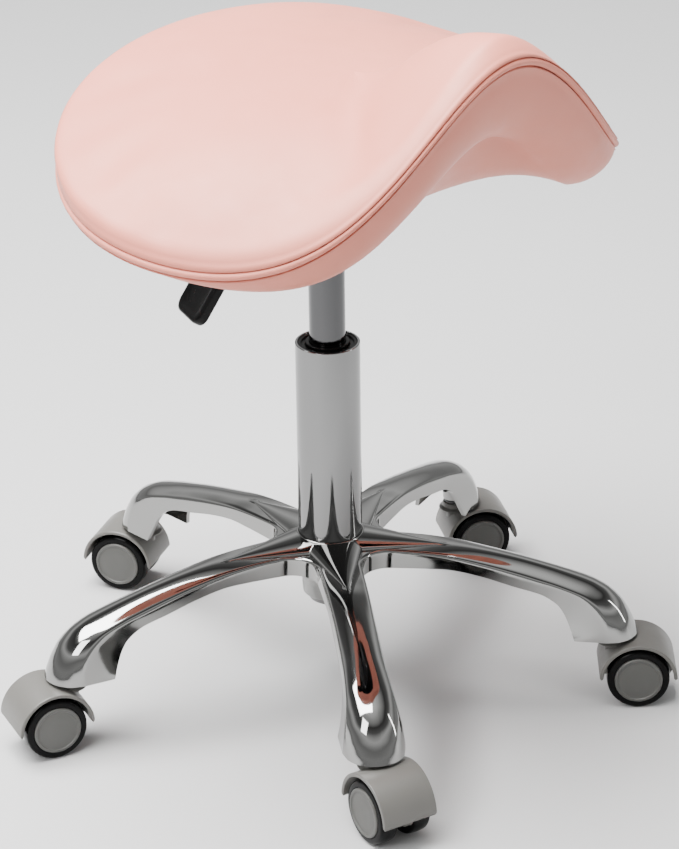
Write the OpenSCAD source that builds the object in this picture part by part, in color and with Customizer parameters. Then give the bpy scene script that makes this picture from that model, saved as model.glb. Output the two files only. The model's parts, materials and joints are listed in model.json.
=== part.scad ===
// Adjustable saddle stool: five-star base on twin-wheel casters, gas lift, swivelling saddle seat.
// Millimetres, +Z up. The floor is z = 0, the column is on the Z axis, the seat's front faces -Y.
// Azimuths are measured from -Y toward +X.

/* [Height] */

// How far the gas cylinder stands above its lowest position
extension = 75; // [0:1:140]

/* [Base] */

// Radius of the circle through the caster stems
stem_circle_r = 224; // [190:1:260]
// Outer diameter of the column tube
tube_d = 50; // [48:1:52]
// Wall of the hollow base legs
leg_wall = 3.5; // [3:0.5:5]

/* [Casters] */

// Headings of the five casters, measured from the direction of their legs
caster_turns = [23, 9, -50, 27, -1]; // [-180:1:180]
// Diameter of the caster wheels
wheel_d = 50; // [46:1:50]
// Distance from the stem's axis back to the axle
trail = 18.9; // [17:0.1:20]

/* [Seat] */

// Thickness of the moulded board in the seat
board_t = 10; // [9:1:14]
// Radius of the piping round the seam
piping_r = 3; // [2:0.5:3.5]
// Height of the dished middle of the seat above its underside
dish_z = 70; // [60:1:80]

/* [Lever] */

// Angle by which the paddle droops below the horizontal
droop = 57; // [45:1:65]

/* [Hidden] */

$fn = 96;
legs = 5;
side = ["left", "right"];

// Heights of the base and the column
web_z = 124;
hub_ring_z = 130.5;
boss_z = 78;
tube_bottom_z = 72;
tube_top_z = 291;
foot_z = 58.5;

// The leg ends: a round foot over each stem, with a socket for it
foot_end_r = 22;
foot_r = stem_circle_r - 3.5;
socket_h = 23.5;

// Radii of the column, from the outside in
tube_r = tube_d / 2;
tube_inner_r = tube_r - 2;
spigot_r = 19;
rod_r = 5;
rod_end_r = 4;
cylinder_r = 14;
cylinder_inner_r = 12.5;
running_gap = 0.05;

// Heights inside the column, worked up from the tube's bottom plate
plate_z = tube_bottom_z + 4;
ball_z = plate_z + 3.3;
upper_race_z = ball_z + 2.3;
rod_shoulder_z = upper_race_z + 1.5;
bump_stop_top_z = 96;
piston_z = 256;
piston_t = 14;

// The gas cylinder and what rides on it
cylinder_z = bump_stop_top_z + 1 + extension;
cylinder_straight = 211;
cone_h = 32;
cone_top_r = 13.2;
cone_z = cylinder_z + cylinder_straight;
cylinder_top_z = cone_z + cone_h;
seat_z = cylinder_top_z + 23;
pin_r = 3;
pin_length = 48.2;
pin_stroke = 5;

// The seat plate and the lever
plate_half = [66, 42];
box_half = [52, 22];
box_depth = 25;
steel_t = 2.5;
bolt_at = [50, 32];
bolt_r = 3;
lever_r = 4;
lever_z = seat_z - 12;
pivot_x = -45;
pivot_r = 2.5;
lever_yaw = 20;

// The casters
wheel_r = wheel_d / 2;
wheel_inner_y = 7.4;
wheel_outer_y = 21;
cap_r = 18.8;
cap_inner_y = 19;
cap_outer_y = 22.6;
axle_r = 4;
hood_r = 30.5;
hood_inner_r = 27.5;
hood_half_w = 22.5;
web_half_t = 3.5;
stem_r = 5.5;
stem_boss_r = 7;
collar_z = 56;
ring_z = 71;
socket_r = 10.5;

// The seat's skin
samples = 60;
skin_t = 1.5;
seat_centre = [0, -30];
crown = 18.7;
roll_start = 0.86;
groove = 2 * piping_r;
seam_row = 11;
board_p = 0.85;

// ---------- helpers ----------

function mix(a, b, t) = a + (b - a) * t;
function flat(lists) = [for (l = lists) each l];
function row_start(rows, k) = k == 0 ? 0 : row_start(rows, k - 1) + len(rows[k - 1]);

// Triangles between two neighbouring rows, either of which may be a single point.
// Each four-sided patch is split along its shorter diagonal, so solids that share rows meet.
function strip(row_a, a, row_b, b) =
    let (n = max(len(row_a), len(row_b)))
    [for (i = [0:n - 1])
        let (j = (i + 1) % n)
        each len(row_a) == 1 ? [[a, b + j, b + i]] :
             len(row_b) == 1 ? [[a + i, a + j, b]] :
             norm(row_a[i] - row_b[j]) < norm(row_a[j] - row_b[i]) ?
                 [[a + i, a + j, b + j], [a + i, b + j, b + i]] :
                 [[a + i, a + j, b + i], [a + j, b + j, b + i]]
    ];

// A solid whose surface runs through rows of points: from a point or a flat ring to another,
// or round and back to the first row when it is closed
module loft(rows, closed = false) {
    n = max([for (r = rows) len(r)]);
    starts = [for (k = [0:len(rows) - 1]) row_start(rows, k)];
    last = len(rows) - 1;
    pairs = concat([for (k = [0:last - 1]) [k, k + 1]], closed ? [[last, 0]] : []);
    walls = flat([for (p = pairs)
        strip(rows[p[0]], starts[p[0]], rows[p[1]], starts[p[1]])]);
    first_cap = closed || len(rows[0]) == 1 ? [] : [[for (i = [n - 1:-1:0]) i]];
    last_cap = closed || len(rows[last]) == 1 ? [] : [[for (i = [0:n - 1]) starts[last] + i]];
    polyhedron(points = flat(rows), faces = concat(first_cap, walls, last_cap), convexity = 8);
}

// A washer-shaped solid between two heights
module ring(r_in, r_out, z0, z1) {
    translate([0, 0, z0])
        difference() {
            cylinder(r = r_out, h = z1 - z0);
            translate([0, 0, -1])
                cylinder(r = r_in, h = z1 - z0 + 2);
        }
}

// A round bar between two points
module bar(from, to, r) {
    d = to - from;
    translate(from)
        rotate([0, acos(d[2] / norm(d)), atan2(d[1], d[0])])
            cylinder(r = r, h = norm(d));
}

// Turns +X to the direction of leg k; legs 1 and 2 stand either side of the front
module at_leg(k) {
    rotate([0, 0, 360 / legs * k - 198])
        children();
}

// Puts a caster made at the origin, trailing along +X, under leg k
module at_caster(k) {
    at_leg(k)
        translate([stem_circle_r, 0, 0])
            rotate([0, 0, caster_turns[k - 1]])
                children();
}

// ---------- base ----------

// Half width of a leg at radius r: it flares into its neighbours at the hub and swells at the foot
function leg_half_w(r) =
    16.5 + 10.5 * exp((30 - r) / 18) + 4.5 * pow(max(0, (r - foot_r + 29) / 29), 2);

// The star seen from above, moved inward by a wall thickness
module base_plan(inset) {
    stations = [for (i = [0:12]) mix(30, foot_r, i / 12)];
    circle(r = 36 - inset);
    for (k = [1:legs])
        at_leg(k) {
            polygon(concat(
                [for (r = stations) [r, inset - leg_half_w(r)]],
                [for (i = [12:-1:0]) [stations[i], leg_half_w(stations[i]) - inset]]
            ));
            translate([foot_r, 0])
                circle(r = foot_end_r - inset);
        }
}

// The top of the star as a curve of height against radius, from the hub to the tip of the foot
function crest() = [
    [100, web_z], [stem_circle_r - 99, web_z - 2.5], [stem_circle_r - 74, web_z - 8],
    [stem_circle_r - 49, web_z - 14], [stem_circle_r - 34, web_z - 18],
    [stem_circle_r - 20, web_z - 22.5], [stem_circle_r - 10, web_z - 26.5],
    [stem_circle_r - 2, web_z - 31], [stem_circle_r + 5, web_z - 37], [stem_circle_r + 11, web_z - 46],
    [stem_circle_r + 15, web_z - 55], [stem_circle_r + 18.5, foot_z]
];

// The turned shape that the star's top, skirts and hub all lie within
module turned_outline() {
    rotate_extrude()
        polygon(concat(
            [[0, boss_z], [21.5, boss_z], [22.5, boss_z + 1], [23.5, 92], [26, 100], [32, 106]],
            [[50, 108.5], [100, 110], [stem_circle_r - 74, 98], [stem_circle_r - 54, 94],
             [stem_circle_r - 44, 88], [stem_circle_r - 34, 73], [stem_circle_r - 28, foot_z]],
            [for (i = [len(crest()) - 1:-1:0]) crest()[i]],
            [[tube_r + 9, web_z], [tube_r + 3, web_z + 2], [tube_r + 1.35, hub_ring_z], [0, hub_ring_z]]
        ));
}

// What is cored out from below, so that web, legs and feet are walls of one thickness
module turned_hollow() {
    rotate_extrude()
        polygon(concat(
            [[36, foot_z - 10], [36, web_z - leg_wall]],
            [for (p = crest()) [p[0] - leg_wall / 3, p[1] - leg_wall]],
            [[stem_circle_r + 18.5 - leg_wall, foot_z - 10]]
        ));
}

// A ridge that runs out from the hub's ring and fades along the leg
module ridge() {
    intersection() {
        translate([18, 0, web_z - 17])
            rotate([0, 90 - 12.6, 0])
                cylinder(r1 = 24, r2 = 0.5, h = 75);
        translate([10, -40, web_z - 2])
            cube([110, 80, 20]);
    }
}

module at_stems() {
    for (k = [1:legs])
        at_leg(k)
            translate([stem_circle_r, 0, 0])
                children();
}

module star_base() {
    color([0.72, 0.72, 0.71])
        difference() {
            union() {
                difference() {
                    intersection() {
                        turned_outline();
                        linear_extrude(200)
                            base_plan(0);
                    }
                    // Cored from below, leaving a boss round each socket
                    difference() {
                        intersection() {
                            turned_hollow();
                            linear_extrude(200)
                                base_plan(leg_wall);
                        }
                        at_stems()
                            cylinder(r = socket_r, h = 200);
                    }
                }
                for (k = [1:legs])
                    at_leg(k)
                        ridge();
            }
            column_outline();
            at_stems() {
                cylinder(r = stem_r + running_gap, h = foot_z + socket_h);
                translate([0, 0, ring_z])
                    cylinder(r = 6.6, h = 2.5);
            }
        }
}

// A split spring ring in each leg's socket; it snaps into the groove of the stem
module caster_grip_rings() {
    color([0.75, 0.75, 0.74])
        at_stems()
            difference() {
                ring(4.8, 6.6, ring_z, ring_z + 2.5);
                translate([3, -0.8, ring_z - 1])
                    cube([6, 1.6, 5]);
            }
}

// ---------- column ----------

// The outside of the column tube; the hub is bored to the same shape
module column_outline() {
    rotate_extrude()
        polygon([
            [0, tube_bottom_z], [spigot_r - 1.4, tube_bottom_z], [spigot_r - 0.8, tube_bottom_z + 1.5],
            [spigot_r, 116], [tube_r, 122], [tube_r, tube_top_z - 0.6],
            [tube_r - 0.6, tube_top_z], [0, tube_top_z]
        ]);
}

module column_tube() {
    color([0.78, 0.78, 0.78])
        difference() {
            column_outline();
            rotate_extrude()
                polygon([
                    [0, plate_z], [spigot_r - 3, plate_z], [spigot_r - 2.2, 116],
                    [tube_inner_r, 123], [tube_inner_r, tube_top_z + 1], [0, tube_top_z + 1]
                ]);
            translate([0, 0, tube_bottom_z - 1])
                cylinder(r = rod_end_r + 0.35, h = 6);
        }
}

module guide_bushing() {
    color([0.06, 0.06, 0.06])
        difference() {
            union() {
                translate([0, 0, tube_top_z - 60])
                    cylinder(r = tube_inner_r, h = 58.8);
                cylinder(r = cylinder_r + 3, h = tube_top_z + 1);
            }
            translate([0, 0, -1])
                cylinder(r = cylinder_r + running_gap, h = tube_top_z + 3);
            translate([0, 0, -1])
                cylinder(r = tube_r, h = tube_top_z - 59);
        }
}

// Lower race with its ring of caged balls
module thrust_bearing() {
    color([0.6, 0.6, 0.6]) {
        ring(rod_end_r + 0.35, 12, plate_z, plate_z + 1.5);
        ring(6.4, 10.6, ball_z - 0.7, ball_z + 0.7);
        for (i = [0:7])
            rotate([0, 0, 45 * i])
                translate([8.5, 0, ball_z])
                    sphere(r = 2);
    }
}

module bearing_upper_race() {
    color([0.62, 0.62, 0.62])
        ring(rod_end_r, 12, upper_race_z, rod_shoulder_z);
}

module retaining_clip() {
    color([0.35, 0.35, 0.35])
        difference() {
            ring(3.2, 8, 69.5, 71);
            translate([0, -1.6, 69])
                cube([10, 3.2, 3]);
        }
}

// Rubber buffer with two grooves round it
module bump_stop() {
    color([0.08, 0.08, 0.08])
        difference() {
            ring(rod_r, 12.5, rod_shoulder_z, bump_stop_top_z);
            for (z = [rod_shoulder_z + 3.5, rod_shoulder_z + 8])
                ring(11, 14, z, z + 1.6);
        }
}

module piston_rod() {
    color([0.7, 0.7, 0.7])
        rotate_extrude()
            polygon([
                [0, 66], [3.4, 66], [rod_end_r, 66.6], [rod_end_r, 69.5], [3.2, 69.5], [3.2, 71],
                [rod_end_r, 71], [rod_end_r, rod_shoulder_z], [rod_r, rod_shoulder_z],
                [rod_r, piston_z], [rod_end_r, piston_z], [rod_end_r, piston_z + piston_t],
                [6, piston_z + piston_t], [6, piston_z + piston_t + 2], [0, piston_z + piston_t + 3]
            ]);
}

// Piston with its seal standing a little proud of the metal
module piston() {
    color([0.3, 0.3, 0.3]) {
        ring(rod_end_r, cylinder_inner_r - 0.4, piston_z, piston_z + piston_t);
        ring(rod_end_r, cylinder_inner_r - running_gap, piston_z + 5, piston_z + 9);
    }
}

module gas_cylinder() {
    pin_bottom = cylinder_top_z + 6.7 - pin_length;
    color([0.45, 0.45, 0.46])
        difference() {
            rotate_extrude()
                polygon([
                    [0, cylinder_z], [cylinder_r - 1, cylinder_z], [cylinder_r, cylinder_z + 1],
                    [cylinder_r, cone_z], [cone_top_r, cylinder_top_z], [0, cylinder_top_z]
                ]);
            translate([0, 0, cylinder_z - 1])
                cylinder(r = cylinder_inner_r, h = cylinder_straight - 17);
            translate([0, 0, pin_bottom - pin_stroke - 0.5])
                cylinder(r = pin_r + running_gap, h = 100);
        }
}

// Rod guide with its seal at the cylinder's lower end
module rod_seal() {
    color([0.15, 0.15, 0.15])
        ring(rod_r + running_gap, cylinder_inner_r, cylinder_z + 0.5, cylinder_z + 14);
}

module valve_pin() {
    bottom = cylinder_top_z + 6.7 - pin_length;
    color([0.72, 0.72, 0.7])
        rotate_extrude()
            polygon(concat(
                [[0, bottom], [pin_r, bottom], [pin_r, bottom + pin_length - 1.5]],
                [for (a = [15:15:90]) [pin_r * cos(a), bottom + pin_length - 1.5 + 1.5 * sin(a)]]
            ));
}

// ---------- seat plate and lever ----------

module at_bolts() {
    for (x = [-1, 1], y = [-1, 1])
        translate([x * bolt_at[0], y * bolt_at[1], seat_z])
            children();
}

module block(half_x, half_y, z0, z1) {
    translate([-half_x, -half_y, z0])
        cube([2 * half_x, 2 * half_y, z1 - z0]);
}

// Pressed-steel box with a flange above and a tapered socket below
module seat_plate() {
    floor_z = seat_z - box_depth;
    color([0.1, 0.1, 0.1])
        difference() {
            union() {
                block(plate_half[0], plate_half[1], seat_z - steel_t, seat_z);
                block(box_half[0] + steel_t, box_half[1] + steel_t, floor_z, seat_z - 1);
                translate([0, 0, cone_z])
                    cylinder(r = cylinder_r + 3.5, h = floor_z - cone_z + 1);
            }
            block(box_half[0], box_half[1], floor_z + steel_t, seat_z + 1);
            // Tapered socket of the cylinder's cone
            translate([0, 0, cone_z])
                cylinder(r1 = cylinder_r, r2 = cone_top_r, h = cone_h);
            translate([0, 0, cone_z + cone_h - 0.1])
                cylinder(r = cone_top_r, h = 10);
            // Slot for the lever
            translate([-box_half[0] - 5, -6, lever_z - 8])
                cube([8, 12, 15]);
            // Bores of the pivot and the bolts
            translate([pivot_x, 30, lever_z])
                rotate([90, 0, 0])
                    cylinder(r = pivot_r, h = 60);
            at_bolts()
                translate([0, 0, -5])
                    cylinder(r = bolt_r + 0.2, h = 10);
        }
}

module lever_pivot() {
    color([0.7, 0.7, 0.7])
        translate([pivot_x, box_half[1] + steel_t + 1, lever_z])
            rotate([90, 0, 0])
                cylinder(r = pivot_r, h = 2 * (box_half[1] + steel_t + 1));
}

// The lever's bent rod: over the valve pin, out of the box, then down into the paddle
paddle_start = [-108, -11, lever_z - 23];
paddle_run = [-cos(lever_yaw) * cos(droop), sin(lever_yaw) * cos(droop), -sin(droop)];
function lever_path() = [
    [7, 0, lever_z], [-72, 0, lever_z], paddle_start - 14 * paddle_run, paddle_start + 20 * paddle_run
];

module lever_shape() {
    path = lever_path();
    for (i = [0:len(path) - 2]) {
        bar(path[i], path[i + 1], lever_r);
        translate(path[i + 1])
            sphere(r = lever_r + 0.2);
    }
}

module lever_rod() {
    color([0.12, 0.12, 0.12])
        difference() {
            union() {
                lever_shape();
                translate([pivot_x, 5.5, lever_z])
                    rotate([90, 0, 0])
                        cylinder(r = 6.5, h = 11);
            }
            translate([pivot_x, 30, lever_z])
                rotate([90, 0, 0])
                    cylinder(r = pivot_r + running_gap, h = 60);
        }
}

// Flat paddle with rounded corners and a sleeve, moulded over the end of the rod
module lever_paddle() {
    length = 60;
    half_w = 20;
    corner = 8;
    color([0.05, 0.05, 0.05])
        difference() {
            translate(paddle_start)
                rotate([0, droop, 180 - lever_yaw]) {
                    translate([0, 0, -4])
                        linear_extrude(8) {
                            for (x = [corner, length - corner], y = [-1, 1])
                                translate([x, y * (half_w - corner)])
                                    circle(r = corner);
                            translate([corner, -half_w])
                                square([length - 2 * corner, 2 * half_w]);
                            translate([0, corner - half_w])
                                square([length, 2 * (half_w - corner)]);
                        }
                    translate([-10, 0, 0])
                        rotate([0, 90, 0])
                            cylinder(r = 6.5, h = 36);
                }
            lever_shape();
        }
}

// ---------- seat ----------

// The seam's closed curve round the seat, above the seat's underside
function seam(a) = [
    220 * sin(a) - 18 * sin(2 * a) - 3 * sin(3 * a),
    -34 - 173 * cos(a) + 9 * cos(2 * a) + 7.5 * cos(3 * a),
    37 + 9 * cos(a) + 47.5 * cos(2 * a) + 15 * cos(3 * a) + 7.5 * cos(4 * a) + 2.5 * cos(5 * a)
];

// How far the side band drops below the seam, and how far its lower edge lies inside it
function band_drop(a) = 27 + 18 * cos(a) + 13.5 * cos(2 * a) + 4 * cos(3 * a);
band_inset = 34;

// Widest swell of the padded edge past the seam, larger toward the rear
function swell(a) = 5 - 8 * cos(a);

function from_centre(a) = [seam(a)[0], seam(a)[1]] - seat_centre;
function outward(a) = from_centre(a) / norm(from_centre(a));

// The top: a dish that curves up to the front, with a pommel and a rolled edge.
// q is 0 in the middle and 1 at the seam.
function top_point(q, a) =
    let (
        power = 2.87 - 1.56 * pow(max(0, cos(a)), 2) - 1.11 * pow(max(0, -cos(a)), 2),
        edge = max(0, (q - roll_start) / (1 - roll_start)),
        plan = seat_centre + q * from_centre(a) + swell(a) * sin(180 * edge * edge) * outward(a),
        pommel = 22.5 * exp(-pow(plan[0] / 48, 2) - pow((plan[1] + 142) / 73, 2)) * (1 - pow(q, 4))
    )
    [plan[0], plan[1],
     dish_z + (seam(a)[2] + crown - dish_z) * pow(q, power)
     - crown * (1 - sqrt(max(0, 1 - edge * edge))) + pommel];

// A point of the side band; t is 0 at the seam and 90 at the lower edge
function band_point(t, a) =
    let (plan = seat_centre + from_centre(a) - band_inset * (1 - cos(t)) * outward(a))
    [plan[0], plan[1], seam(a)[2] - band_drop(a) * sin(t)];

// The underside, flat in the middle as far as flat_p; p is 1 at the band's lower edge
flat_p = 0.55;
function under_point(p, a) =
    let (edge = band_point(90, a))
    [mix(seat_centre[0], edge[0], p), mix(seat_centre[1], edge[1], p),
     edge[2] * pow(max(0, (p - flat_p) / (1 - flat_p)), 2)];

function seam_groove(a) =
    let (plan = seat_centre + from_centre(a) - groove * outward(a))
    [plan[0], plan[1], seam(a)[2]];

azimuths = [for (i = [0:samples - 1]) 360 / samples * i];
groove_h = 1.45 * piping_r;
top_rows = concat(
    [for (q = [0.16, 0.32, 0.47, 0.6, 0.72, roll_start]) [for (a = azimuths) top_point(q, a)]],
    [for (t = [20, 40, 60, acos(groove_h / crown)])
        [for (a = azimuths) top_point(mix(roll_start, 1, sin(t)), a)]],
    [[for (a = azimuths) seam_groove(a)]]
);
band_rows = concat(
    [[for (a = azimuths) band_point(asin(groove_h / band_drop(a)), a)]],
    [for (t = [45, 68, 90]) [for (a = azimuths) band_point(t, a)]]
);
under_rows = [for (p = [0.93, board_p, 0.77, 0.68, 0.6, flat_p, 0.2])
    [for (a = azimuths) under_point(p, a)]];
top_centre = [seat_centre[0], seat_centre[1], top_point(0, 0)[2]];
under_centre = [seat_centre[0], seat_centre[1], 0];

// Every row of the skin from the middle of the top to the middle of the underside
skin = concat([[top_centre]], top_rows, band_rows, under_rows, [[under_centre]]);
lower_edge_row = seam_row + len(band_rows);
board_row = lower_edge_row + 2;
cover_row = lower_edge_row + 5;
last_row = len(skin) - 1;

function skin_at(j, i) = skin[j][len(skin[j]) == 1 ? 0 : (i + samples) % samples];
function skin_normal(j, i) =
    let (n = cross(skin_at(j + 1, i) - skin_at(j - 1, i), skin_at(j, i + 1) - skin_at(j, i - 1)))
    n / norm(n);

// The inside of a row, one skin thickness in
function inner_row(j) =
    j == 0 ? [top_centre - [0, 0, skin_t]] :
    j == last_row ? [under_centre + [0, 0, skin_t]] :
    [for (i = [0:samples - 1]) skin_at(j, i) - skin_t * skin_normal(j, i)];

function outer_rows(from, to) = [for (j = [from:to]) skin[j]];
function inner_rows(from, to) = [for (j = [from:(to > from ? 1 : -1):to]) inner_row(j)];
function raised(rows, h) = [for (row = rows) [for (p = row) p + [0, 0, h]]];

module seat_solid(rows, closed = false) {
    translate([0, 0, seat_z])
        loft(rows, closed);
}

module seat_top_panel() {
    color([0.93, 0.76, 0.72])
        seat_solid(concat(outer_rows(0, seam_row), inner_rows(seam_row, 0)));
}

module seat_side_band() {
    color([0.92, 0.74, 0.7])
        seat_solid(concat(outer_rows(seam_row, cover_row), inner_rows(cover_row, seam_row)), true);
}

module seat_foam() {
    color([0.9, 0.85, 0.7])
        seat_solid(concat(inner_rows(0, board_row), raised(inner_rows(board_row, last_row), board_t)));
}

module seat_board() {
    color([0.7, 0.55, 0.38])
        difference() {
            seat_solid(concat(
                raised(inner_rows(last_row, board_row), board_t),
                inner_rows(board_row, last_row)
            ));
            at_bolts() {
                cylinder(r = 4.5, h = 20);
                translate([0, 0, skin_t + board_t - 1])
                    cylinder(r = 8, h = 5);
            }
        }
}

module bottom_cover() {
    color([0.12, 0.12, 0.12])
        difference() {
            seat_solid(concat(inner_rows(last_row, cover_row), outer_rows(cover_row, last_row)));
            at_bolts()
                translate([0, 0, -2])
                    cylinder(r = bolt_r + 0.2, h = 10);
        }
}

module seat_piping() {
    color([0.93, 0.76, 0.72])
        seat_solid([for (t = [0:45:315])
            [for (a = azimuths)
                let (plan = seat_centre + from_centre(a) + (piping_r - 0.05) * cos(t) * outward(a))
                [plan[0], plan[1], seam(a)[2] - (piping_r - 0.05) * sin(t)]
            ]], true);
}

module tee_nuts() {
    color([0.75, 0.75, 0.72])
        at_bolts() {
            ring(bolt_r, 4.5, skin_t, skin_t + board_t - 1);
            ring(bolt_r, 8, skin_t + board_t - 1, skin_t + board_t);
        }
}

// Button-head screws with a hexagon socket
module seat_bolts() {
    color([0.2, 0.2, 0.2])
        at_bolts()
            difference() {
                union() {
                    translate([0, 0, -steel_t - 3.4])
                        cylinder(r1 = 3.8, r2 = 5.2, h = 3.4);
                    translate([0, 0, -steel_t - 0.1])
                        cylinder(r = bolt_r, h = steel_t + skin_t + board_t - 0.9);
                }
                translate([0, 0, -steel_t - 4])
                    cylinder(r = 2, h = 2.6, $fn = 6);
            }
}

// ---------- casters ----------

module caster_stem(k) {
    color([0.1, 0.1, 0.1])
        at_caster(k)
            rotate_extrude()
                polygon([
                    [0, 47], [stem_r, 47], [stem_r, collar_z], [9, collar_z], [9, 58.2],
                    [stem_r, 58.2], [stem_r, ring_z - 0.3], [4.5, ring_z - 0.3],
                    [4.5, ring_z + 2.8], [stem_r, ring_z + 2.8], [stem_r, foot_z + 20.5],
                    [stem_r - 1.5, foot_z + 22], [0, foot_z + 22]
                ]);
}

// Something made round the axle, along local Y
module round_axle() {
    translate([trail, 0, wheel_r])
        rotate([90, 0, 0])
            children();
}

// The half-round shell over both wheels, the web between them and the boss of the stem
module caster_hood(k) {
    color([0.6, 0.59, 0.57])
        at_caster(k)
            difference() {
                union() {
                    difference() {
                        union() {
                            round_axle()
                                cylinder(r = hood_r, h = 2 * hood_half_w, center = true);
                            translate([0, 0, 40])
                                cylinder(r = 10, h = collar_z - 40);
                        }
                        round_axle()
                            cylinder(r = hood_inner_r, h = 100, center = true);
                        translate([-50, -50, -10])
                            cube([120, 100, wheel_r + 10]);
                    }
                    intersection() {
                        round_axle()
                            cylinder(r = hood_inner_r + 1, h = 2 * web_half_t, center = true);
                        translate([-50, -50, wheel_r - 6])
                            cube([120, 100, 60]);
                    }
                    round_axle()
                        cylinder(r = 7.5, h = 2 * stem_boss_r, center = true);
                    translate([0, 0, 30])
                        cylinder(r = stem_boss_r, h = 22);
                }
                translate([0, 0, 47])
                    cylinder(r = stem_r, h = 30);
                round_axle()
                    cylinder(r = axle_r, h = 100, center = true);
            }
}

module caster_axle(k) {
    color([0.6, 0.6, 0.6])
        at_caster(k)
            round_axle()
                cylinder(r = axle_r, h = 2 * (cap_inner_y - 0.4), center = true);
}

// s is +1 for the wheel on local +Y and -1 for the one on -Y
module at_wheel(k, s) {
    at_caster(k)
        translate([trail, 0, wheel_r])
            rotate([-90 * s, 0, 0])
                children();
}

// Wheel with a rounded tread, recessed on the outside for its cap
module wheel(k, s) {
    soft = 3;
    color([0.07, 0.07, 0.07])
        at_wheel(k, s)
            rotate_extrude()
                polygon(concat(
                    [[axle_r + running_gap, wheel_inner_y]],
                    [for (a = [-90:15:0])
                        [wheel_r - soft + soft * cos(a), wheel_inner_y + soft + soft * sin(a)]],
                    [for (a = [0:15:90])
                        [wheel_r - soft + soft * cos(a), wheel_outer_y - soft + soft * sin(a)]],
                    [[cap_r, wheel_outer_y], [cap_r, cap_inner_y], [axle_r + running_gap, cap_inner_y]]
                ));
}

module wheel_cap(k, s) {
    color([0.48, 0.48, 0.46])
        at_wheel(k, s)
            rotate_extrude()
                polygon([
                    [0, cap_inner_y], [cap_r, cap_inner_y], [cap_r, cap_outer_y - 1],
                    [cap_r - 1, cap_outer_y], [cap_r - 3, cap_outer_y], [cap_r - 4, cap_outer_y - 0.6],
                    [0, cap_outer_y - 0.2]
                ]);
}

// ---------- nodes ----------

star_base();
column_tube();
guide_bushing();
thrust_bearing();
caster_grip_rings();
bearing_upper_race();
retaining_clip();
bump_stop();
piston_rod();
piston();
gas_cylinder();
rod_seal();
seat_plate();
lever_pivot();
seat_board();
tee_nuts();
seat_bolts();
seat_foam();
seat_top_panel();
seat_side_band();
seat_piping();
bottom_cover();
lever_rod();
lever_paddle();
valve_pin();
for (k = [1:legs]) {
    caster_stem(k);
    caster_hood(k);
    caster_axle(k);
    wheel(k, 1);
    wheel(k, -1);
    wheel_cap(k, 1);
    wheel_cap(k, -1);
}
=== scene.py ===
"""Looks of the adjustable saddle stool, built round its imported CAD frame. Metres, +Z up, front -Y."""
import json
import math
import bmesh
import bpy
import numpy as np
from mathutils import Matrix, Vector
from mathutils.kdtree import KDTree


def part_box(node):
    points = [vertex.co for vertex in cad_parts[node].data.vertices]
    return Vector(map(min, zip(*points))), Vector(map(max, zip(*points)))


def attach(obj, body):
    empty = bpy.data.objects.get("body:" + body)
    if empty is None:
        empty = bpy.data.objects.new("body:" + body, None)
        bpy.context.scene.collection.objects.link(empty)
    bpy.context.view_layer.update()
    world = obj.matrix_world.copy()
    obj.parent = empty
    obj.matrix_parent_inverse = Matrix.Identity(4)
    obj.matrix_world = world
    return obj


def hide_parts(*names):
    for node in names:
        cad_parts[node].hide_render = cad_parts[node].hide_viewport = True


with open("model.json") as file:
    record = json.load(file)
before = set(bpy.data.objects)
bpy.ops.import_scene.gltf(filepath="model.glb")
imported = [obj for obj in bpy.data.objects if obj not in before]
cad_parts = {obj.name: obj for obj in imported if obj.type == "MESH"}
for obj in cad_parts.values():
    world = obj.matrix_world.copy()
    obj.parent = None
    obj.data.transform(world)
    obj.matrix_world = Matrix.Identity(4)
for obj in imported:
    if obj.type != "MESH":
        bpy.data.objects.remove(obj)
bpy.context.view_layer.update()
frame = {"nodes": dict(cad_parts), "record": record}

MM = 0.001
LEGS = 5


# ---------------------------------------------------------------- meshes

def new_object(name, mesh):
    """A scene object for a mesh, shaded smooth."""
    obj = bpy.data.objects.new(name, mesh)
    bpy.context.scene.collection.objects.link(obj)
    for face in mesh.polygons:
        face.use_smooth = True
    return obj


def mesh_from(name, points, faces, merge=0.0):
    """A mesh in metres from points in millimetres, with doubles merged and normals outward."""
    mesh = bpy.data.meshes.new(name)
    mesh.from_pydata([(p[0] * MM, p[1] * MM, p[2] * MM) for p in points], [], faces)
    bm = bmesh.new()
    bm.from_mesh(mesh)
    if merge:
        bmesh.ops.remove_doubles(bm, verts=bm.verts, dist=merge * MM)
    bmesh.ops.recalc_face_normals(bm, faces=bm.faces)
    bm.to_mesh(mesh)
    bm.free()
    return mesh


def grid_faces(rows, columns, wrap_rows=False, wrap_columns=False, start=0):
    """Quads of a grid of points stored row by row."""
    faces = []
    for i in range(rows if wrap_rows else rows - 1):
        for j in range(columns if wrap_columns else columns - 1):
            a, b = i * columns + j, i * columns + (j + 1) % columns
            c = ((i + 1) % rows) * columns + (j + 1) % columns
            d = ((i + 1) % rows) * columns + j
            faces.append((a + start, b + start, c + start, d + start))
    return faces


def revolve(name, profile, segments=96, closed=False):
    """A solid of revolution about Z from (radius, height) points in millimetres."""
    angles = [2 * math.pi * i / segments for i in range(segments)]
    points = [(r * math.cos(a), r * math.sin(a), z) for r, z in profile for a in angles]
    faces = grid_faces(len(profile), segments, wrap_rows=closed, wrap_columns=True)
    return mesh_from(name, points, faces, merge=0.001)


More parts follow.
